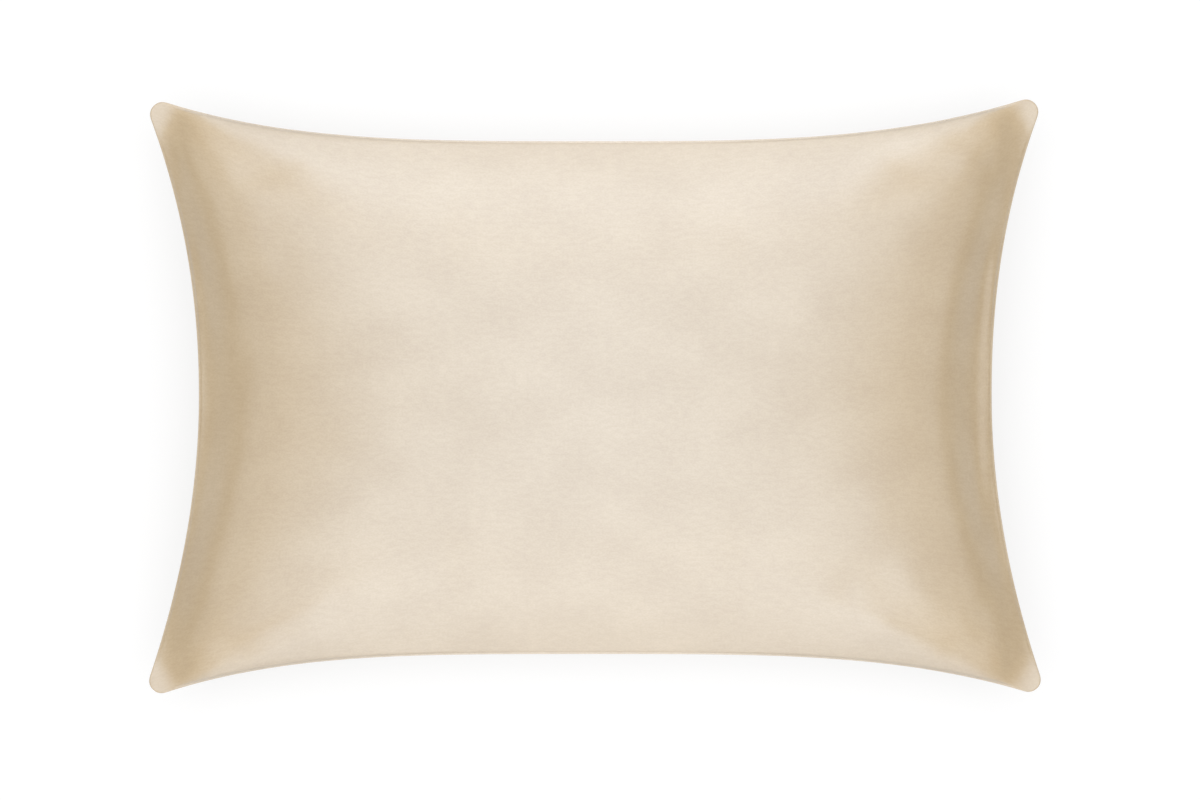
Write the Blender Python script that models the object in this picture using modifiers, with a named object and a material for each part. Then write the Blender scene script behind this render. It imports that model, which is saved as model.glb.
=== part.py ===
"""A filled pillowcase for a 75 x 50 cm bed pillow, lying on its back on a flat surface.

Metres, +Z up. The long side runs along X and the top of the case points along +Y. The origin is under the
middle of the case, on the surface that it lies on.

Two equal panels meet in one plain seam. The filling draws the seam in between the corners, the corners
stay flat and thin, and the underside is flat where the case lies.
"""

import math

import bmesh
import bpy
from mathutils import Vector

# The outline seen from above, as distances from the middle of the case to its seam.
SIDE_SEAM_X = 0.3345     # to the side seams, halfway up
END_SEAM_Y = 0.2168      # to the top and bottom seams, halfway across
CORNER_X = 0.3812        # to the point where the seams would meet if the corners were sharp
CORNER_Y = 0.2562
SIDE_BEND_UPPER = 2.3    # how late the side seams flare towards the corners: 2 is a parabola
SIDE_BEND_LOWER = 2.0
END_BEND = 3.6           # the top and bottom seams run straight in the middle and flare late
TIP_RADIUS = 0.0108      # the sewn corners are rounded

# The section.
SEAM_HEIGHT = 0.068      # the seam above the surface, halfway along the sides
TIP_DROOP = 0.020        # how much lower the corner tips hang
CROWN = 0.092            # the middle of the front above the seam
BACK_BULGE = 0.090       # the middle of the back below the seam, if nothing held it up

# How the filling rises from a seam: a flat lip, a steep wall, and a slow dome to the middle.
LIP_WIDTH = 0.009        # the margin that the seam allowance inside stiffens
LIP_BLEND = 0.006        # over which the lip turns up into the wall
WALL_REACH = 0.020       # how far the steep wall comes in from the lip
WALL_ROUNDNESS = 1.3
WALL_SHARE = 0.5         # the share of the crown that the wall gives
DOME_POWER = 2.2

# The side walls are wider at the waist, where the sides are drawn in most.
WAIST_SWELL = 0.6        # how much wider
WAIST_V = 0.12           # at what share of the way up
WAIST_SPAN = 0.25        # over what share of the way up

# Half the cells of each panel's cage along X and Y.
HALF_COLUMNS = 12
HALF_ROWS = 9

SATIN_COLOUR = (0.72, 0.61, 0.47, 1.0)
SATIN_ROUGHNESS = 0.45


def clear_scene():
    """Remove what the scene holds."""
    for scene_object in list(bpy.data.objects):
        bpy.data.objects.remove(scene_object, do_unlink=True)


def satin():
    """The one cloth of both panels."""
    material = bpy.data.materials.new("champagne satin")
    material.use_nodes = True
    shader = material.node_tree.nodes["Principled BSDF"]
    shader.inputs["Base Color"].default_value = SATIN_COLOUR
    shader.inputs["Roughness"].default_value = SATIN_ROUGHNESS
    shader.inputs["Metallic"].default_value = 0.0
    return material


def side_bend(v):
    """How late a side seam flares, above or below its middle."""
    return SIDE_BEND_UPPER if v > 0 else SIDE_BEND_LOWER


def side_seam(v):
    """Distance from the middle to a side seam, at the share v of the way up (-1 to 1)."""
    return SIDE_SEAM_X + (CORNER_X - SIDE_SEAM_X) * abs(v) ** side_bend(v)


def end_seam(u):
    """Distance from the middle to the top or bottom seam, at the share u of the way across."""
    return END_SEAM_Y + (CORNER_Y - END_SEAM_Y) * abs(u) ** END_BEND


def corner_arc(v):
    """The centre of a corner's arc, and the outward normals of the two seams that it joins."""
    side_slope = (CORNER_X - SIDE_SEAM_X) * side_bend(v) / CORNER_Y
    end_slope = (CORNER_Y - END_SEAM_Y) * END_BEND / CORNER_X
    side_normal = Vector((1.0, -side_slope)).normalized()
    end_normal = Vector((-end_slope, 1.0)).normalized()
    outward = (side_normal + end_normal).normalized()
    centre = Vector((CORNER_X, CORNER_Y)) - outward * TIP_RADIUS / outward.dot(side_normal)
    return centre, side_normal, end_normal


def plan(u, v):
    """Where the point (u, v) of a panel lies, seen from above, with the sharp corners rounded."""
    centre, side_normal, end_normal = corner_arc(v)
    offset = Vector((abs(u) * side_seam(v), abs(v) * end_seam(u))) - centre
    if side_normal.cross(offset) > 0 and offset.cross(end_normal) > 0:
        direction = offset.normalized()
        offset *= max(direction.dot(side_normal), direction.dot(end_normal))
    return math.copysign(centre.x + offset.x, u), math.copysign(centre.y + offset.y, v)


def rise(share, half_size, reach):
    """0 at a seam (share 1) and 1 in the middle (share 0)."""
    past_lip = half_size * (1 - abs(share)) - LIP_WIDTH
    inset = (past_lip + math.hypot(past_lip, LIP_BLEND)) / 2
    at_seam = (math.hypot(LIP_WIDTH, LIP_BLEND) - LIP_WIDTH) / 2
    climb = max(0.0, inset - at_seam) / reach
    wall = 1 - math.exp(-(climb ** WALL_ROUNDNESS))
    dome = 1 - abs(share) ** DOME_POWER
    return wall * (WALL_SHARE + (1 - WALL_SHARE) * dome)


def fullness(u, v):
    """How far the filling lifts the cloth at (u, v): 0 along the seams and 1 in the middle."""
    waist = 1 + WAIST_SWELL * math.exp(-(((v - WAIST_V) / WAIST_SPAN) ** 2))
    across = rise(u, side_seam(v), WALL_REACH * waist)
    along = rise(v, end_seam(u), WALL_REACH)
    return across * along


def place(u, v, side):
    """The point (u, v) of the front (side 1) or of the back (side -1)."""
    x, y = plan(u, v)
    seam = SEAM_HEIGHT - TIP_DROOP * (u * v) ** 4
    lift = CROWN if side > 0 else -BACK_BULGE
    return Vector((x, y, max(0.0, seam + lift * fullness(u, v))))


def graded(position):
    """Move a cage line from even spacing to one that is closer near the seams."""
    return math.sin(position * math.pi / 2)


def add_panel(mesh, side):
    """Add the cage of one panel, its cells facing out."""
    panel = bmesh.ops.create_grid(
        mesh, x_segments=2 * HALF_COLUMNS, y_segments=2 * HALF_ROWS, size=1
    )["verts"]
    for vertex in panel:
        vertex.co = place(graded(vertex.co.x), graded(vertex.co.y), side)
    if side < 0:
        bmesh.ops.reverse_faces(mesh, faces=list({face for vertex in panel for face in vertex.link_faces}))


def sew(mesh):
    """Join the two panels along the seam, which stays a sharp edge."""
    crease = mesh.edges.layers.float.new("crease_edge")
    for edge in mesh.edges:
        if edge.is_boundary:
            edge[crease] = 1.0
    edges_of_cloth = [vertex for vertex in mesh.verts if vertex.is_boundary]
    bmesh.ops.remove_doubles(mesh, verts=edges_of_cloth, dist=0.0001)


def pillowcase(collection):
    """The case and its filling as one closed body."""
    cage = bmesh.new()
    for side in (1, -1):
        add_panel(cage, side)
    sew(cage)
    mesh = bpy.data.meshes.new("pillowcase")
    cage.to_mesh(mesh)
    cage.free()
    mesh.shade_smooth()
    mesh.materials.append(satin())
    case = bpy.data.objects.new("pillowcase", mesh)
    collection.objects.link(case)
    rounding = case.modifiers.new("soft form", "SUBSURF")
    rounding.levels = 1
    rounding.render_levels = 1
    return case


def main():
    clear_scene()
    collection = bpy.data.collections.new("pillowcase")
    bpy.context.scene.collection.children.link(collection)
    pillowcase(collection)


if __name__ == "__main__":
    main()
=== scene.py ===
"""The looks of a filled satin pillowcase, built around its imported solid.

Metres, +Z up. The case lies on its back on a pale floor. Its long side runs along X and its top points
along +Y. Two equal panels meet in one plain seam; the filling crowns them, draws the seam in between the
corners and leaves the corner tips flat.
"""

import math
from collections import namedtuple

import bpy
import numpy as np
from bpy.props import FloatProperty, FloatVectorProperty, PointerProperty
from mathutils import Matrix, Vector


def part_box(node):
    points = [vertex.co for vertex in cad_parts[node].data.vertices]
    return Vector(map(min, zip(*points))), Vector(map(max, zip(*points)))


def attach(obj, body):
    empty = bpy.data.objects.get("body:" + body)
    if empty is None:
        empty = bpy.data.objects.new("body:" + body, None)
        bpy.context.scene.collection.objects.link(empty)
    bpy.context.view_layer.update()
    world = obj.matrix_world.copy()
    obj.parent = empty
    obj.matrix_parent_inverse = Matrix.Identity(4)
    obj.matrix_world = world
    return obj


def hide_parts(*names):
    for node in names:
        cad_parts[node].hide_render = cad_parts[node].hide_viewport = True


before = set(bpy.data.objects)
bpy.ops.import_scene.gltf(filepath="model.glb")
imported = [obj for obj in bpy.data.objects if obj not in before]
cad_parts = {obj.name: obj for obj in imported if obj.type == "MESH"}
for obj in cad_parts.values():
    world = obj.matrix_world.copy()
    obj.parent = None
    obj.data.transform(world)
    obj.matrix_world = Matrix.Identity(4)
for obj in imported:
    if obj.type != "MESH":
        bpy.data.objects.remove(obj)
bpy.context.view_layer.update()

NODE = "pillowcase"
BODY = "root"

_, solid_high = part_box(NODE)

bl_info = {
    "name": "Filled satin pillowcase",
    "version": (1, 0, 0),
    "blender": (4, 5, 0),
    "location": "3D View > Sidebar > Pillowcase",
    "description": "Builds a filled satin pillowcase and the plain studio that it lies in",
    "category": "Add Mesh",
}

TINY = 1e-9              # keeps a length of zero out of a division

# How each quarter of the outline runs, by the corner that it ends in: (across, up) is (-1, 1) for the upper
# left. reach_x and reach_y are where its two seams would meet if the corner were sharp. A bend is how late
# a seam flares on its way to the corner: 2 is a parabola, and more keeps it straight for longer.
Corner = namedtuple("Corner", "reach_x reach_y side_bend end_bend")
CORNERS = {
    (-1, 1): Corner(0.384, 0.257, 2.15, 3.50),
    (1, 1): Corner(0.382, 0.259, 2.25, 3.25),
    (-1, -1): Corner(0.384, 0.257, 1.95, 3.65),
    (1, -1): Corner(0.383, 0.255, 1.95, 3.45),
}

SEAM_HEIGHT = 0.068      # the seam above the floor, halfway along the sides
DROOP_POWER = 4          # how late the seam bends down on its way to the corner tips

# The grid of each panel: half its cells along X and Y, and how much finer they are at the seam.
HALF_COLUMNS = 60
HALF_ROWS = 44
SEAM_FINENESS = 0.15
EDGE_STEP = 0.0006       # between the outermost grid lines

# The sewn edge, from the stitches outwards and back in over the fold of the seam allowance: how far each of
# the outermost grid lines lies in from the edge of the case, and how far it stands off the seam's plane.
EdgeLine = namedtuple("EdgeLine", "inset half_thickness")
SEWN_EDGE = [
    EdgeLine(0.00100, 0.0),
    EdgeLine(0.00015, 0.00070),
    EdgeLine(0.00060, 0.00120),
    EdgeLine(0.00180, 0.00135),
]

# How the filling rises from a seam: a margin that lies flatter, a steep wall and then a slow dome. A blend is
# how softly the margin turns up into the wall. A dome power says how late the dome bends down to the seams.
SIDE_BLEND = 0.027       # halfway up the sides
CORNER_BLEND = 0.003     # at the ends of the sides
END_BLEND = 0.001
SIDE_ROUNDNESS = 1.1
END_ROUNDNESS = 0.6
WALL_SHARE = 0.23        # the share of the crown that the walls give
CORNER_SLACK = 0.9       # how much less of it they give towards the corners
SLACK_POWER = 7.5        # how close to the corners that is
SIDE_DOME = 1.77
END_DOME = 5.0
HIP_SHARPNESS = 9.0      # how sharply a side wall and an end wall meet on the way to their corner

# The wall beside a seam, in even steps from the middle of the seam to its corners: how wide the flatter
# margin is, and how far the wall reaches in. A margin below zero starts the wall steeply at the stitches.
Wall = namedtuple("Wall", "margin reach")
LEFT_WALLS = [Wall(0.007, 0.020), Wall(0.002, 0.018), Wall(-0.006, 0.023), Wall(-0.002, 0.037)]
RIGHT_WALLS = [Wall(0.015, 0.018), Wall(0.017, 0.014), Wall(-0.005, 0.024), Wall(-0.006, 0.034)]
END_WALLS = [Wall(0.002, 0.058), Wall(0.001, 0.047), Wall(-0.006, 0.015), Wall(0.003, 0.007)]
SHORTEST_REACH = 0.004
LOWEST_WALL = 1e-5       # keeps the hip's formula clear of a division by zero
TIP_REACH = 0.045        # how far the filling stays out of the corner tips
TIP_SHARPNESS = 4.1

FLOOR_BLEND = 0.008      # over which the back turns flat where it lies on the floor

# Soft creases of the front, seen from above: where each fades out at its two ends, how wide it is to either
# side of its middle line, and how high it stands. Below zero it is a trough.
Crease = namedtuple("Crease", "start_x start_y end_x end_y half_width height")
CREASES = [
    # Beside the side seams, on the way down from each corner tip.
    Crease(-0.353, 0.255, -0.347, 0.154, 0.008, -0.0004),
    Crease(0.351, 0.255, 0.344, 0.154, 0.008, -0.0005),
    Crease(0.330, 0.255, 0.319, 0.161, 0.009, -0.0004),
    Crease(-0.352, -0.255, -0.344, -0.157, 0.008, -0.0003),
    Crease(0.351, -0.255, 0.343, -0.153, 0.008, -0.0006),
    Crease(0.329, -0.246, 0.318, -0.156, 0.009, -0.0004),
    # Drawn from the corners towards the middle.
    Crease(-0.340, 0.233, -0.162, 0.168, 0.008, 0.0006),
    Crease(-0.304, 0.160, -0.244, 0.056, 0.016, 0.0009),
    Crease(0.229, 0.202, 0.315, 0.243, 0.007, 0.0006),
    Crease(0.169, 0.151, 0.340, 0.229, 0.011, -0.0004),
    Crease(0.219, 0.164, 0.304, 0.206, 0.012, -0.0005),
    Crease(-0.324, -0.236, -0.174, -0.172, 0.008, 0.0006),
    Crease(-0.358, -0.225, -0.161, -0.142, 0.012, 0.0014),
    Crease(-0.326, -0.169, -0.278, -0.085, 0.014, -0.0006),
    Crease(0.120, -0.142, 0.322, -0.220, 0.012, 0.0026),
    Crease(0.236, -0.134, 0.304, -0.202, 0.014, 0.0013),
    Crease(0.153, -0.155, 0.239, -0.225, 0.008, 0.0003),
    Crease(0.265, -0.155, 0.206, -0.225, 0.008, 0.0002),
    # Dimples and bands inside the side walls.
    Crease(-0.293, 0.081, -0.293, -0.010, 0.014, -0.0011),
    Crease(-0.271, 0.156, -0.257, 0.039, 0.016, -0.0005),
    Crease(0.301, 0.073, 0.300, -0.027, 0.012, -0.0002),
    Crease(0.273, -0.060, 0.286, -0.168, 0.014, -0.0003),
    Crease(0.235, -0.052, 0.227, -0.134, 0.016, 0.0005),
    # Along the seams.
    Crease(-0.332, 0.015, -0.345, 0.166, 0.006, 0.0015),
    Crease(0.328, 0.015, 0.340, 0.166, 0.006, 0.0016),
    Crease(0.327, 0.082, 0.330, -0.169, 0.006, 0.0010),
    Crease(-0.319, 0.229, -0.122, 0.209, 0.006, 0.0014),
    Crease(0.138, 0.211, 0.319, 0.235, 0.006, 0.0005),
    Crease(-0.327, -0.230, -0.130, -0.212, 0.006, 0.0010),
    Crease(-0.130, -0.207, 0.121, -0.207, 0.009, -0.0005),
    # On the crown.
    Crease(-0.062, -0.027, 0.053, -0.134, 0.022, -0.0003),
    Crease(-0.244, -0.043, -0.111, -0.027, 0.020, 0.0010),
    Crease(0.087, -0.159, 0.178, -0.176, 0.014, 0.0003),
]
CREASE_FADE = 0.004      # over which a crease fades at the seam


def per_corner(u, v, field):
    """The field of CORNERS that holds in each point's quarter."""
    quarters = [(np.sign(u) == across) & (np.sign(v) == up) for across, up in CORNERS]
    values = [getattr(corner, field) for corner in CORNERS.values()]
    return np.select(quarters, values, default=getattr(CORNERS[1, 1], field))


def side_seam(u, v, sizes):
    """Distance from the middle to the side seam, at the share v of the way up."""
    flare = per_corner(u, v, "reach_x") - sizes.side_seam
    return sizes.side_seam + flare * np.abs(v) ** per_corner(u, v, "side_bend")


def end_seam(u, v, sizes):
    """Distance from the middle to the top or bottom seam, at the share u of the way across."""
    flare = per_corner(u, v, "reach_y") - sizes.end_seam
    return sizes.end_seam + flare * np.abs(u) ** per_corner(u, v, "end_bend")


def unit(x, y):
    """The direction (x, y), one long."""
    length = np.hypot(x, y)
    return x / length, y / length


def plan(u, v, sizes):
    """Where the points (u, v) of a panel lie, seen from above, with the sharp corners rounded to an arc."""
    reach_x, reach_y = per_corner(u, v, "reach_x"), per_corner(u, v, "reach_y")
    side_slope = (reach_x - sizes.side_seam) * per_corner(u, v, "side_bend") / reach_y
    end_slope = (reach_y - sizes.end_seam) * per_corner(u, v, "end_bend") / reach_x
    side_x, side_y = unit(1.0, -side_slope)
    end_x, end_y = unit(-end_slope, 1.0)
    out_x, out_y = unit(side_x + end_x, side_y + end_y)
    back_off = sizes.tip_radius / (out_x * side_x + out_y * side_y)
    centre_x, centre_y = reach_x - out_x * back_off, reach_y - out_y * back_off
    x = np.abs(u) * side_seam(u, v, sizes) - centre_x
    y = np.abs(v) * end_seam(u, v, sizes) - centre_y
    in_corner = (side_x * y - side_y * x > 0) & (x * end_y - y * end_x > 0)
    length = np.maximum(np.hypot(x, y), TINY)
    along = np.maximum(x * side_x + y * side_y, x * end_x + y * end_y) / length
    scale = np.where(in_corner, along, 1.0)
    return np.sign(u) * (centre_x + x * scale), np.sign(v) * (centre_y + y * scale)


def between(at, places, values):
    """A smooth curve through the values given at the places."""
    slopes = np.gradient(values, places)
    cell = np.clip(np.searchsorted(places, at) - 1, 0, len(places) - 2)
    width = places[cell + 1] - places[cell]
    t = (at - places[cell]) / width
    from_start = (1 - t) ** 2 * ((1 + 2 * t) * values[cell] + t * width * slopes[cell])
    from_end = t ** 2 * ((3 - 2 * t) * values[cell + 1] - (1 - t) * width * slopes[cell + 1])
    return from_start + from_end


def along_seam(share, walls, what):
    """The margin or the reach of a seam's walls, at the share of the way from its middle to its corners."""
    half = [getattr(wall, what) for wall in walls]
    values = np.array(half[:0:-1] + half)
    return between(share, np.linspace(-1, 1, len(values)), values)


def climb_wall(across, along, half_size, walls, blend, roundness):
    """How far up its wall a point is: 0 at the seam (across 1 or -1), and 1 past the wall."""
    margin, reach = along_seam(along, walls, "margin"), along_seam(along, walls, "reach")
    past_margin = half_size * (1 - np.abs(across)) - margin
    inset = (past_margin + np.hypot(past_margin, blend)) / 2
    at_seam = (np.hypot(margin, blend) - margin) / 2
    climb = np.maximum(0.0, inset - at_seam) / np.maximum(reach, SHORTEST_REACH)
    return 1 - np.exp(-(climb ** roundness))


def lower_of(one, other):
    """The lower of two walls, rounded where they meet on the hip between them."""
    one, other = np.maximum(one, LOWEST_WALL), np.maximum(other, LOWEST_WALL)
    return (2 / (one ** -HIP_SHARPNESS + other ** -HIP_SHARPNESS)) ** (1 / HIP_SHARPNESS)


def pushed_out(u, v, x, y, sizes):
    """How far the filling lifts the cloth, before it is set to 1 in the middle."""
    blend = SIDE_BLEND + (CORNER_BLEND - SIDE_BLEND) * v ** 2
    left = climb_wall(u, v, side_seam(u, v, sizes), LEFT_WALLS, blend, SIDE_ROUNDNESS)
    right = climb_wall(u, v, side_seam(u, v, sizes), RIGHT_WALLS, blend, SIDE_ROUNDNESS)
    side = np.where(u < 0, left, right)
    end = climb_wall(v, u, end_seam(u, v, sizes), END_WALLS, END_BLEND, END_ROUNDNESS)
    dome = (1 - np.abs(u) ** SIDE_DOME) * (1 - np.abs(v) ** END_DOME)
    share = WALL_SHARE * (1 - CORNER_SLACK * np.abs(u * v) ** SLACK_POWER)
    short_x, short_y = np.abs(x) - per_corner(u, v, "reach_x"), np.abs(y) - per_corner(u, v, "reach_y")
    out_of_tip = 1 - np.exp(-((np.hypot(short_x, short_y) / TIP_REACH) ** TIP_SHARPNESS))
    return lower_of(side, end) * (share + (1 - share) * dome) * out_of_tip


def fullness(u, v, x, y, sizes):
    """How far the filling lifts the cloth: 0 along the seams and 1 in the middle."""
    middle = np.zeros(1)
    return pushed_out(u, v, x, y, sizes) / pushed_out(middle, middle, middle, middle, sizes)


def grid_lines(half_count, half_size):
    """Line positions from -1 to 1: small even steps at each seam, then ever wider ones to the middle."""
    edge = np.arange(len(SEWN_EDGE)) * EDGE_STEP / half_size
    steps = np.linspace(0, 1, half_count - len(SEWN_EDGE) + 2)[1:]
    widening = SEAM_FINENESS * steps + (1 - SEAM_FINENESS) * steps ** 2
    half = 1 - np.concatenate([edge, edge[-1] + (1 - edge[-1]) * widening])
    return np.concatenate([-half, half[-2::-1]])


def ring(shape, depth):
    """Rows and columns of the closed loop of grid points that lies depth lines in from the seam."""
    low, last_row, last_column = depth, shape[0] - 1 - depth, shape[1] - 1 - depth
    across = np.arange(low, last_column)
    up = np.arange(low, last_row)
    row = [np.full(across.size, low), up, np.full(across.size, last_row), up[::-1] + 1]
    column = [across, np.full(up.size, last_column), across[::-1] + 1, np.full(up.size, low)]
    return np.concatenate(row), np.concatenate(column)


def sew_edge(x, y, z, seam, side):
    """Shape the outermost grid lines of a panel into the rounded fold beside the stitches."""
    for depth, line in enumerate(SEWN_EDGE):
        loop = ring(x.shape, depth)
        along_x = np.roll(x[loop], -1) - np.roll(x[loop], 1)
        along_y = np.roll(y[loop], -1) - np.roll(y[loop], 1)
        out_x, out_y = unit(along_y, -along_x)
        outwards = depth * EDGE_STEP - line.inset
        x[loop] += out_x * outwards
        y[loop] += out_y * outwards
        z[loop] = seam[loop] + side * line.half_thickness


def lie_flat(z):
    """Press whatever would reach below the floor flat on it, turning softly into the part above."""
    near = np.clip(z + FLOOR_BLEND, 0.0, 2 * FLOOR_BLEND)
    return np.where(z > FLOOR_BLEND, z, near ** 2 / (4 * FLOOR_BLEND))


def seam_line(u, v, x, y, sizes):
    """Height of the seam's plane, which droops towards the corner tips."""
    to_corner = x * y / (per_corner(u, v, "reach_x") * per_corner(u, v, "reach_y"))
    return sizes.seam_height - sizes.tip_droop * to_corner ** DROOP_POWER


def crease_relief(u, v, x, y, sizes):
    """How far the creases lift the cloth of the front."""
    relief = np.zeros_like(x)
    for crease in CREASES:
        along_x, along_y = crease.end_x - crease.start_x, crease.end_y - crease.start_y
        from_x, from_y = x - crease.start_x, y - crease.start_y
        length = math.hypot(along_x, along_y)
        along = np.clip((from_x * along_x + from_y * along_y) / length ** 2, 0, 1)
        across = (from_x * along_y - from_y * along_x) / length
        fade = (4 * along * (1 - along)) ** 2
        relief += crease.height * np.exp(-((across / crease.half_width) ** 2)) * fade
    to_side = side_seam(u, v, sizes) * (1 - np.abs(u)) / CREASE_FADE
    to_end = end_seam(u, v, sizes) * (1 - np.abs(v)) / CREASE_FADE
    return relief * (1 - np.exp(-(to_side ** 2))) * (1 - np.exp(-(to_end ** 2)))


def filled_panel(u, v, side, sizes):
    """x, y and z of the front (side 1) or the back (side -1), as the filling holds it."""
    x, y = plan(u, v, sizes)
    lift = sizes.crown if side > 0 else -sizes.back_bulge
    edge = seam_line(u, v, x, y, sizes) + side * SEWN_EDGE[-1].half_thickness
    return x, y, edge + lift * fullness(u, v, x, y, sizes)


def panel(side, sizes, settling):
    """Points of the front (side 1) or the back (side -1), and where each lies on its cloth."""
    columns = grid_lines(HALF_COLUMNS, sizes.side_seam)
    rows = grid_lines(HALF_ROWS, sizes.end_seam)
    u, v = np.meshgrid(columns, rows)
    x, y, z = filled_panel(u, v, side, sizes)
    if settling is not None:
        moved = smooth_field(settling[side], rows, columns)
        x, y, z = x + moved[..., 0], y + moved[..., 1], z + moved[..., 2]
    if side > 0:
        z += crease_relief(u, v, x, y, sizes)
    sew_edge(x, y, z, seam_line(u, v, x, y, sizes), side)
    if side < 0:
        z = lie_flat(z)
    return np.stack([x, y, z], axis=-1), np.stack([u, v], axis=-1)


def grid_faces(numbers, flip):
    """The four corners of each cell of a grid of vertex numbers."""
    cells = np.stack([numbers[:-1, :-1], numbers[:-1, 1:], numbers[1:, 1:], numbers[1:, :-1]], axis=-1)
    cells = cells.reshape(-1, 4)
    return cells[:, ::-1] if flip else cells


def panel_numbers(shape):
    """Vertex numbers of the two panels' grids, which share the numbers along the seam."""
    front = np.arange(shape[0] * shape[1]).reshape(shape)
    back = np.full(shape, -1)
    loop = ring(shape, 0)
    back[loop] = front[loop]
    inner = back < 0
    back[inner] = front.size + np.arange(inner.sum())
    return front, back, inner


def closed_mesh(name, front, back):
    """One closed mesh of the grids of points of both panels."""
    front_numbers, back_numbers, inner = panel_numbers(front.shape[:2])
    points = np.concatenate([front.reshape(-1, 3), back[inner]])
    faces = np.concatenate([grid_faces(front_numbers, False), grid_faces(back_numbers, True)])
    mesh = bpy.data.meshes.new(name)
    mesh.from_pydata(points.tolist(), [], faces.tolist())
    return mesh


def mesh_points(mesh):
    """All points of a mesh as rows of x, y and z."""
    points = np.empty(len(mesh.vertices) * 3)
    mesh.vertices.foreach_get("co", points)
    return points.reshape(-1, 3)


# How the cloth settles under the pressure of the filling: on an even grid, with the seam and the part that
# lies on the floor held.
SETTLE_COLUMNS = 90
SETTLE_ROWS = 60
SETTLE_FRAMES = 20
PRESSURE = 4.0
CLOTH_EASE = 0.01        # how much longer the cloth is than the form that it covers
STIFFNESS = 0.5          # against bending
FARTHEST_MOVE = 0.005
SHOWN_SHARE = 0.2        # the loose filling gives way, so only this share of the move shows


def settle(sizes):
    """How far each panel moves when the filling presses it out, as a grid of moves for each side."""
    u, v = np.meshgrid(np.linspace(-1, 1, SETTLE_COLUMNS + 1), np.linspace(-1, 1, SETTLE_ROWS + 1))
    grids = {side: np.stack(filled_panel(u, v, side, sizes), axis=-1) for side in (1, -1)}
    grids[-1][..., 2] = lie_flat(grids[-1][..., 2])
    mesh = closed_mesh("settling cloth", grids[1], grids[-1])
    cloth_object = bpy.data.objects.new("settling cloth", mesh)
    bpy.context.scene.collection.objects.link(cloth_object)
    before = mesh_points(mesh)
    front, back, _ = panel_numbers(u.shape)
    held = cloth_object.vertex_groups.new(name="held")
    on_floor = np.flatnonzero(before[:, 2] < FLOOR_BLEND)
    held.add(np.concatenate([front[ring(u.shape, 0)], on_floor]).tolist(), 1.0, "REPLACE")
    press_out(cloth_object)
    for frame_number in range(1, SETTLE_FRAMES + 1):
        bpy.context.scene.frame_set(frame_number)
    settled = cloth_object.evaluated_get(bpy.context.evaluated_depsgraph_get()).data
    move = mesh_points(settled) - before
    bpy.context.scene.frame_set(1)
    bpy.data.objects.remove(cloth_object, do_unlink=True)
    length = np.maximum(np.linalg.norm(move, axis=1, keepdims=True), TINY)
    move *= SHOWN_SHARE * FARTHEST_MOVE * np.tanh(length / FARTHEST_MOVE) / length
    return {1: move[front], -1: move[back]}


def press_out(cloth_object):
    """Give the cloth the pressure of the filling."""
    cloth = cloth_object.modifiers.new("filling", "CLOTH")
    cloth.settings.vertex_group_mass = "held"
    cloth.settings.use_pressure = True
    cloth.settings.uniform_pressure_force = PRESSURE
    cloth.settings.shrink_min = -CLOTH_EASE
    cloth.settings.bending_stiffness = STIFFNESS
    cloth.settings.effector_weights.gravity = 0.0
    cloth.collision_settings.use_collision = False
    cloth.collision_settings.use_self_collision = False
    cloth.point_cache.frame_start = 1
    cloth.point_cache.frame_end = SETTLE_FRAMES


def spline_weights(lines, count):
    """Weights that the even steps from -1 to 1 have in a smooth curve, at each of the lines."""
    step = (lines + 1) / 2 * count
    away = np.abs(step[:, None] - np.arange(-1, count + 2)[None])
    near = (4 - 6 * away ** 2 + 3 * away ** 3) / 6
    far = np.maximum(2 - away, 0) ** 3 / 6
    weights = np.where(away < 1, near, far)
    weights[:, 1] += weights[:, 0]
    weights[:, -2] += weights[:, -1]
    return weights[:, 1:-1]


def smooth_field(moves, rows, columns):
    """The moves of the even grid, smoothed and read off at the finer grid's lines."""
    across = spline_weights(columns, SETTLE_COLUMNS)
    up = spline_weights(rows, SETTLE_ROWS)
    return np.einsum("ri,ijk,cj->rck", up, moves, across, optimize=True)


def sewn_mesh(sizes):
    """One closed mesh of both panels, which share their outermost points: the stitches of the seam."""
    settling = settle(sizes)
    front, cloth = panel(1, sizes, settling)
    back, _ = panel(-1, sizes, settling)
    front_numbers, _, inner = panel_numbers(front.shape[:2])
    mesh = closed_mesh("filled pillowcase", front, back)
    on_cloth = np.concatenate([cloth.reshape(-1, 2), cloth[inner]])
    lay_cloth(mesh, on_cloth, sizes, front_numbers.size)
    sharpen_seam(mesh, front_numbers[ring(front.shape[:2], 0)])
    mesh.shade_smooth()
    return mesh


def lay_cloth(mesh, on_cloth, sizes, front_count):
    """Store where each point lies on the flat cloth, in metres, for the weave to follow.

    The back panel lies one cut length further on, so that its pattern is its own.
    """
    flat = np.zeros((len(on_cloth), 3))
    flat[:, :2] = on_cloth * (sizes.cut_length / 2, sizes.cut_width / 2)
    flat[front_count:, 2] = sizes.cut_length
    attribute = mesh.attributes.new("cloth", "FLOAT_VECTOR", "POINT")
    attribute.data.foreach_set("vector", flat.ravel())


def sharpen_seam(mesh, loop):
    """Keep the line of stitches a sharp groove between the two folds."""
    stitched = {frozenset(pair) for pair in zip(loop.tolist(), np.roll(loop, -1).tolist())}
    crease = mesh.attributes.new("crease_edge", "FLOAT", "EDGE")
    for edge in mesh.edges:
        if frozenset(edge.vertices) in stitched:
            crease.data[edge.index].value = 1.0


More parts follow.
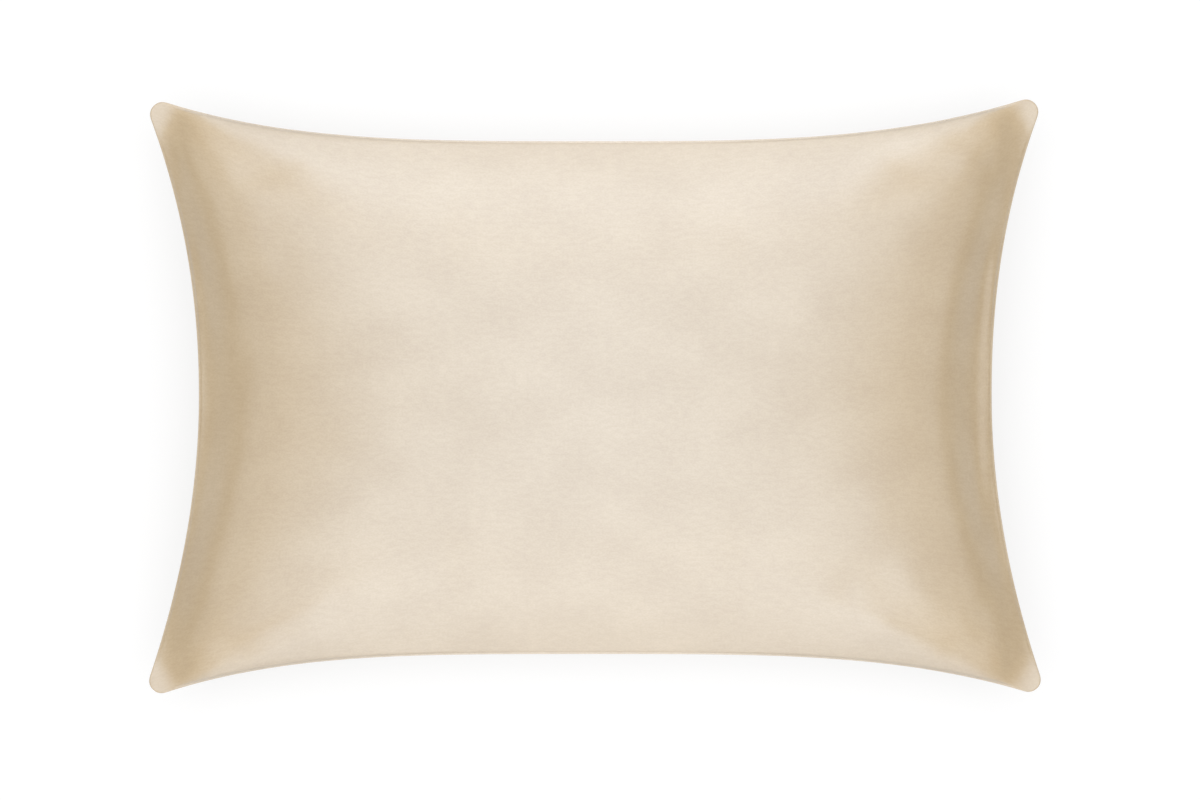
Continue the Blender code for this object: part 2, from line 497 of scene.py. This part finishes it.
# How much of a contrast red, green and blue show: paler threads are a little less yellow.
PALE_TINT = (0.75, 1.0, 1.5)
PATCH_STRETCH = 1.4      # patches and grain are this much longer along the weft
CLOUD_DETAIL = 3.0
STREAK_DETAIL = 2.0
GLOSS_SPREAD = 0.010     # how much wider or narrower the gloss is from patch to patch
MIDDLE_HALF = (0.35, 0.65)       # between which the middle half of a pattern's values lies


def add_node(tree, kind, **settings):
    node = tree.nodes.new(kind)
    for name, value in settings.items():
        setattr(node, name, value)
    return node


def cloth_noise(tree, on_cloth, length, width, detail):
    """Soft uneven variation from 0 to 1 over the cloth, in patches of this length and width."""
    mapping = add_node(tree, "ShaderNodeMapping")
    mapping.inputs["Scale"].default_value = (1 / length, 1 / width, 1 / width)
    pattern = add_node(tree, "ShaderNodeTexNoise")
    pattern.inputs["Scale"].default_value = 1.0
    pattern.inputs["Detail"].default_value = detail
    tree.links.new(on_cloth.outputs["Vector"], mapping.inputs["Vector"])
    tree.links.new(mapping.outputs["Vector"], pattern.inputs["Vector"])
    return pattern.outputs["Fac"]


def spread(tree, value, low, high):
    """Stretch the middle half of a variation over the range from low to high."""
    stretch = add_node(tree, "ShaderNodeMapRange")
    stretch.inputs["From Min"].default_value, stretch.inputs["From Max"].default_value = MIDDLE_HALF
    stretch.inputs["To Min"].default_value = low
    stretch.inputs["To Max"].default_value = high
    tree.links.new(value, stretch.inputs["Value"])
    return stretch.outputs["Result"]


def blend_colours(tree, how, share, first, second):
    """Mix two colours, each given as a colour or as the output of a node."""
    mix = add_node(tree, "ShaderNodeMix", data_type="RGBA", blend_type=how)
    for name, colour in (("A", first), ("B", second)):
        socket = next(s for s in mix.inputs if s.name == name and s.type == "RGBA")
        if isinstance(colour, bpy.types.NodeSocket):
            tree.links.new(colour, socket)
        else:
            socket.default_value = (*colour, 1.0)
    factor = next(s for s in mix.inputs if s.name == "Factor" and s.type == "VALUE")
    if isinstance(share, bpy.types.NodeSocket):
        tree.links.new(share, factor)
    else:
        factor.default_value = share
    return next(s for s in mix.outputs if s.type == "RGBA")


def shades(tree, pattern, contrast):
    """A factor for the ground colour that follows a pattern, from deeper to paler by the contrast."""
    deep = [1 - share * contrast for share in PALE_TINT]
    pale = [1 + share * contrast for share in PALE_TINT]
    return blend_colours(tree, "MIX", spread(tree, pattern, 0.0, 1.0), deep, pale)


def add_bump(tree, height, distance, below=None):
    """Tilt the shading by a fine relief, on top of another relief if one is given."""
    relief = add_node(tree, "ShaderNodeBump")
    relief.inputs["Strength"].default_value = 1.0
    relief.inputs["Distance"].default_value = distance
    tree.links.new(height, relief.inputs["Height"])
    if below:
        tree.links.new(below, relief.inputs["Normal"])
    return relief.outputs["Normal"]


def thread_direction(tree):
    """The way that the gloss stretches: along the surface, square to the long side of the case."""
    surface = add_node(tree, "ShaderNodeNewGeometry")
    square_to = add_node(tree, "ShaderNodeVectorMath", operation="CROSS_PRODUCT")
    square_to.inputs[1].default_value = (1.0, 0.0, 0.0)
    tree.links.new(surface.outputs["Normal"], square_to.inputs[0])
    return square_to.outputs["Vector"]


def satin_material(cloth):
    """Champagne satin: a warm ground under a broad soft gloss, with clouds, weft streaks and fine grain."""
    material = bpy.data.materials.new("champagne satin")
    material.use_nodes = True
    tree = material.node_tree
    shader = tree.nodes["Principled BSDF"]
    shader.inputs["IOR"].default_value = cloth.gloss_strength
    shader.inputs["Anisotropic"].default_value = cloth.gloss_stretch
    shader.inputs["Specular Tint"].default_value = (*cloth.gloss_colour, 1.0)
    on_cloth = add_node(tree, "ShaderNodeAttribute", attribute_name="cloth")
    clouds = cloth_noise(tree, on_cloth, cloth.cloud_size * PATCH_STRETCH, cloth.cloud_size, CLOUD_DETAIL)
    streaks = cloth_noise(tree, on_cloth, cloth.streak_length, cloth.streak_width, STREAK_DETAIL)
    grain = cloth_noise(tree, on_cloth, cloth.grain_size * PATCH_STRETCH, cloth.grain_size, 0.0)
    ground = cloth.satin_colour
    for pattern, contrast in (
        (clouds, cloth.cloud_contrast),
        (streaks, cloth.streak_contrast),
        (grain, cloth.streak_contrast),
    ):
        ground = blend_colours(tree, "MULTIPLY", 1.0, shades(tree, pattern, contrast), ground)
    tree.links.new(ground, shader.inputs["Base Color"])
    width = spread(tree, clouds, cloth.gloss_width + GLOSS_SPREAD, cloth.gloss_width - GLOSS_SPREAD)
    tree.links.new(width, shader.inputs["Roughness"])
    weft = add_bump(tree, streaks, cloth.streak_relief)
    tree.links.new(add_bump(tree, grain, cloth.grain_relief, weft), shader.inputs["Normal"])
    tree.links.new(thread_direction(tree), shader.inputs["Tangent"])
    return material


LAMP_SIZE = (0.7, 0.8)
LAMPS_AIM_AT = Vector((0, 0, 0.08))
TOP_LAMP_AT = Vector((0, 0.945, 0.365))
BOTTOM_LAMP_AT = Vector((0, -0.865, 0.400))
RIGHT_LAMP_AT = Vector((1.5, 0, 0.9))
LEFT_LAMP_AT = Vector((-1.5, 0, 0.9))
OVERHEAD_FROM = Vector((-0.008, 0.019, 1.0))     # the way to the light above the case
OVERHEAD_HEIGHT = 2.0    # where it is drawn: its light is the same from any distance


def overhead_light(strength, angle):
    """A wide soft light from above."""
    lamp = bpy.data.lights.new("overhead light", "SUN")
    lamp.energy = strength
    lamp.angle = angle
    light = bpy.data.objects.new("overhead light", lamp)
    light.location = OVERHEAD_FROM * OVERHEAD_HEIGHT
    light.rotation_euler = (-OVERHEAD_FROM).to_track_quat("-Z", "Y").to_euler()
    bpy.context.scene.collection.objects.link(light)


def area_light(name, location, power):
    """A soft rectangular lamp that faces the case."""
    lamp = bpy.data.lights.new(name, "AREA")
    lamp.shape = "RECTANGLE"
    lamp.size, lamp.size_y = LAMP_SIZE
    lamp.energy = power
    light = bpy.data.objects.new(name, lamp)
    light.location = location
    light.rotation_euler = (LAMPS_AIM_AT - location).to_track_quat("-Z", "Y").to_euler()
    light.visible_camera = False
    bpy.context.scene.collection.objects.link(light)


class PILLOWCASE_PG_form(bpy.types.PropertyGroup):
    """Sizes of the filled case."""

    side_seam: FloatProperty(
        name="Side seam", description="From the middle to the side seams, halfway up",
        default=0.3337, min=0.2, max=0.6, unit="LENGTH",
    )
    end_seam: FloatProperty(
        name="End seam", description="From the middle to the top and bottom seams, halfway across",
        default=0.2161, min=0.1, max=0.4, unit="LENGTH",
    )
    tip_radius: FloatProperty(
        name="Tip radius", description="Rounding of the sewn corners, seen from above",
        default=0.0102, min=0.002, max=0.05, unit="LENGTH",
    )
    seam_height: FloatProperty(
        name="Seam height", description="Height of the seam above the floor, halfway along the sides",
        default=SEAM_HEIGHT, min=0.01, max=0.2, unit="LENGTH",
    )
    tip_droop: FloatProperty(
        name="Tip droop", description="How much lower the corner tips hang",
        default=0.012, min=0.0, max=0.05, unit="LENGTH",
    )
    crown: FloatProperty(
        name="Crown", description="Height of the middle of the front above the seam",
        default=solid_high.z - SEAM_HEIGHT - SEWN_EDGE[-1].half_thickness - SHOWN_SHARE * FARTHEST_MOVE,
        min=0.02, max=0.2, unit="LENGTH",
    )
    back_bulge: FloatProperty(
        name="Back bulge", description="How far the back would reach below the seam if nothing held it up",
        default=0.090, min=0.02, max=0.2, unit="LENGTH",
    )
    cut_length: FloatProperty(
        name="Cut length", description="Length of each panel when it lies flat",
        default=0.75, min=0.3, max=1.2, unit="LENGTH",
    )
    cut_width: FloatProperty(
        name="Cut width", description="Width of each panel when it lies flat",
        default=0.50, min=0.2, max=1.0, unit="LENGTH",
    )


class PILLOWCASE_PG_cloth(bpy.types.PropertyGroup):
    """Colours and finish of the satin."""

    satin_colour: FloatVectorProperty(
        name="Satin", description="Ground colour of the satin, under its gloss",
        subtype="COLOR", size=3, min=0.0, max=1.0, default=(0.405, 0.295, 0.160),
    )
    gloss_colour: FloatVectorProperty(
        name="Gloss colour", description="Tint of the gloss that the floating threads give",
        subtype="COLOR", size=3, min=0.0, max=1.0, default=(0.60, 0.78, 1.00),
    )
    gloss_strength: FloatProperty(
        name="Gloss strength", description="Index of refraction of the threads: higher gives more gloss",
        default=2.4, min=1.0, max=4.0,
    )
    gloss_width: FloatProperty(
        name="Gloss width", description="Roughness of the satin face: higher spreads the gloss",
        subtype="FACTOR", default=0.46, min=0.0, max=1.0,
    )
    gloss_stretch: FloatProperty(
        name="Gloss stretch", description="How much the gloss stretches across the threads",
        subtype="FACTOR", default=0.71, min=0.0, max=1.0,
    )
    cloud_size: FloatProperty(
        name="Cloud size", description="Width of the soft lighter and darker patches",
        default=0.055, min=0.005, max=0.2, unit="LENGTH",
    )
    cloud_contrast: FloatProperty(
        name="Cloud contrast", description="How much lighter or darker the patches are",
        subtype="FACTOR", default=0.044, min=0.0, max=0.3,
    )
    streak_length: FloatProperty(
        name="Streak length", description="Length of the fine streaks along the weft",
        default=0.008, min=0.002, max=0.1, unit="LENGTH",
    )
    streak_width: FloatProperty(
        name="Streak width", description="Width of the fine streaks along the weft",
        default=0.0035, min=0.0002, max=0.01, unit="LENGTH",
    )
    streak_contrast: FloatProperty(
        name="Streak contrast", description="How much lighter or darker the streaks and the grain are",
        subtype="FACTOR", default=0.036, min=0.0, max=0.3,
    )
    streak_relief: FloatProperty(
        name="Streak relief", description="Height of the slubs that the streaks stand on",
        default=0.000060, min=0.0, max=0.001, precision=6, unit="LENGTH",
    )
    grain_size: FloatProperty(
        name="Grain size", description="Width of the finest unevenness of the threads",
        default=0.0014, min=0.0001, max=0.005, precision=5, unit="LENGTH",
    )
    grain_relief: FloatProperty(
        name="Grain relief", description="Height of the finest unevenness of the threads",
        default=0.000030, min=0.0, max=0.001, precision=6, unit="LENGTH",
    )


class PILLOWCASE_PG_stage(bpy.types.PropertyGroup):
    """Floor, lamps and camera."""

    floor_colour: FloatVectorProperty(
        name="Floor", description="Colour of the floor",
        subtype="COLOR", size=3, min=0.0, max=1.0, default=(0.18, 0.18, 0.18),
    )
    floor_glow: FloatProperty(
        name="Floor glow", description="How much light the floor gives off itself, to soften the shadows",
        default=0.72, min=0.0,
    )
    overhead_strength: FloatProperty(
        name="Overhead light", description="Strength of the wide soft light from above",
        default=3.8, min=0.0,
    )
    overhead_spread: FloatProperty(
        name="Overhead spread", description="How wide the light from above is, as an angle",
        default=math.radians(82), min=0.0, max=math.pi, subtype="ANGLE", unit="ROTATION",
    )
    top_power: FloatProperty(
        name="Top lamp", description="Power of the low lamp beyond the top edge",
        default=5.5, min=0.0, unit="POWER",
    )
    bottom_power: FloatProperty(
        name="Bottom lamp", description="Power of the low lamp beyond the bottom edge",
        default=4.4, min=0.0, unit="POWER",
    )
    side_power: FloatProperty(
        name="Side lamps", description="Power of each of the two lamps beyond the sides",
        default=3.5, min=0.0, unit="POWER",
    )
    sky_strength: FloatProperty(
        name="Room light", description="Strength of the even light from all round",
        default=0.12, min=0.0,
    )
    camera_height: FloatProperty(
        name="Camera height", description="Height of the camera above the floor",
        unit="LENGTH", default=3.08, min=0.5, max=20.0,
    )


class PILLOWCASE_OT_case(bpy.types.Operator):
    """Build the filled pillowcase"""

    bl_idname = "pillowcase.case"
    bl_label = "Filled pillowcase"

    def execute(self, context):
        sizes = context.scene.pillowcase_form
        mesh = sewn_mesh(sizes)
        mesh.materials.append(satin_material(context.scene.pillowcase_cloth))
        case = bpy.data.objects.new("satin_pillowcase", mesh)
        context.scene.collection.objects.link(case)
        rounding = case.modifiers.new("soft form", "SUBSURF")
        rounding.levels = 1
        rounding.render_levels = 1
        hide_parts(NODE)
        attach(case, BODY)
        return {"FINISHED"}


PHOTO_WIDTH = 1200       # pixels of the picture that the camera frames
PHOTO_HEIGHT = 800
PIXEL_SIZE = 0.0008436   # in metres, near the height of the seam
CASE_CENTRE_X = 595.3    # where the middle of the case lies in the picture, in pixels
CASE_CENTRE_Y = 397.6
FRAMED_HEIGHT = 0.06     # at which a pixel has that size
SENSOR_WIDTH = 36.0
FLOOR_REACH = 12.0       # from the case to the floor's edges


def straight_down_camera(height):
    """A long lens that looks straight down on the case."""
    lens = bpy.data.cameras.new("camera")
    lens.sensor_width = SENSOR_WIDTH
    lens.lens = SENSOR_WIDTH * (height - FRAMED_HEIGHT) / (PHOTO_WIDTH * PIXEL_SIZE)
    camera = bpy.data.objects.new("camera", lens)
    camera.location = (
        (PHOTO_WIDTH / 2 - CASE_CENTRE_X) * PIXEL_SIZE,
        (CASE_CENTRE_Y - PHOTO_HEIGHT / 2) * PIXEL_SIZE,
        height,
    )
    return camera


def pale_floor(colour, glow):
    """A matt floor, lit a little from within like a light table, that reaches well past the picture."""
    mesh = bpy.data.meshes.new("floor")
    corners = [(FLOOR_REACH * x, FLOOR_REACH * y, 0) for x, y in ((-1, -1), (1, -1), (1, 1), (-1, 1))]
    mesh.from_pydata(corners, [], [(0, 1, 2, 3)])
    material = bpy.data.materials.new("pale floor")
    material.use_nodes = True
    shader = material.node_tree.nodes["Principled BSDF"]
    shader.inputs["Base Color"].default_value = (*colour, 1.0)
    shader.inputs["Roughness"].default_value = 1.0
    shader.inputs["Specular IOR Level"].default_value = 0.0
    shader.inputs["Emission Color"].default_value = (1.0, 1.0, 1.0, 1.0)
    shader.inputs["Emission Strength"].default_value = glow
    mesh.materials.append(material)
    return bpy.data.objects.new("floor", mesh)


class PILLOWCASE_OT_stage(bpy.types.Operator):
    """Set up the floor, the lamps and the camera"""

    bl_idname = "pillowcase.stage"
    bl_label = "Studio"

    def execute(self, context):
        scene = context.scene
        stage = scene.pillowcase_stage
        floor = pale_floor(stage.floor_colour, stage.floor_glow)
        scene.collection.objects.link(floor)
        overhead_light(stage.overhead_strength, stage.overhead_spread)
        area_light("top lamp", TOP_LAMP_AT, stage.top_power)
        area_light("bottom lamp", BOTTOM_LAMP_AT, stage.bottom_power)
        area_light("left lamp", LEFT_LAMP_AT, stage.side_power)
        area_light("right lamp", RIGHT_LAMP_AT, stage.side_power)
        room = bpy.data.worlds.new("room")
        room.use_nodes = True
        room.node_tree.nodes["Background"].inputs["Color"].default_value = (1.0, 1.0, 1.0, 1.0)
        room.node_tree.nodes["Background"].inputs["Strength"].default_value = stage.sky_strength
        scene.world = room
        camera = straight_down_camera(stage.camera_height)
        scene.collection.objects.link(camera)
        scene.camera = camera
        scene.view_settings.view_transform = "Standard"
        return {"FINISHED"}


class VIEW3D_PT_pillowcase(bpy.types.Panel):
    """Lists what can be built"""

    bl_label = "Pillowcase"
    bl_space_type = "VIEW_3D"
    bl_region_type = "UI"
    bl_category = "Pillowcase"

    def draw(self, context):
        layout = self.layout
        for operator, group in (
            (PILLOWCASE_OT_case, context.scene.pillowcase_form),
            (None, context.scene.pillowcase_cloth),
            (PILLOWCASE_OT_stage, context.scene.pillowcase_stage),
        ):
            if operator:
                layout.operator(operator.bl_idname)
            for name in group.bl_rna.properties.keys():
                if name not in ("rna_type", "name"):
                    layout.prop(group, name)


GROUPS = {
    "pillowcase_form": PILLOWCASE_PG_form,
    "pillowcase_cloth": PILLOWCASE_PG_cloth,
    "pillowcase_stage": PILLOWCASE_PG_stage,
}
CLASSES = (*GROUPS.values(), PILLOWCASE_OT_case, PILLOWCASE_OT_stage, VIEW3D_PT_pillowcase)


def register():
    for cls in CLASSES:
        bpy.utils.register_class(cls)
    for name, group in GROUPS.items():
        setattr(bpy.types.Scene, name, PointerProperty(type=group))


def unregister():
    for name in GROUPS:
        delattr(bpy.types.Scene, name)
    for cls in reversed(CLASSES):
        bpy.utils.unregister_class(cls)


def main():
    register()
    bpy.ops.pillowcase.case()
    bpy.ops.pillowcase.stage()


if __name__ == "__main__":
    main()
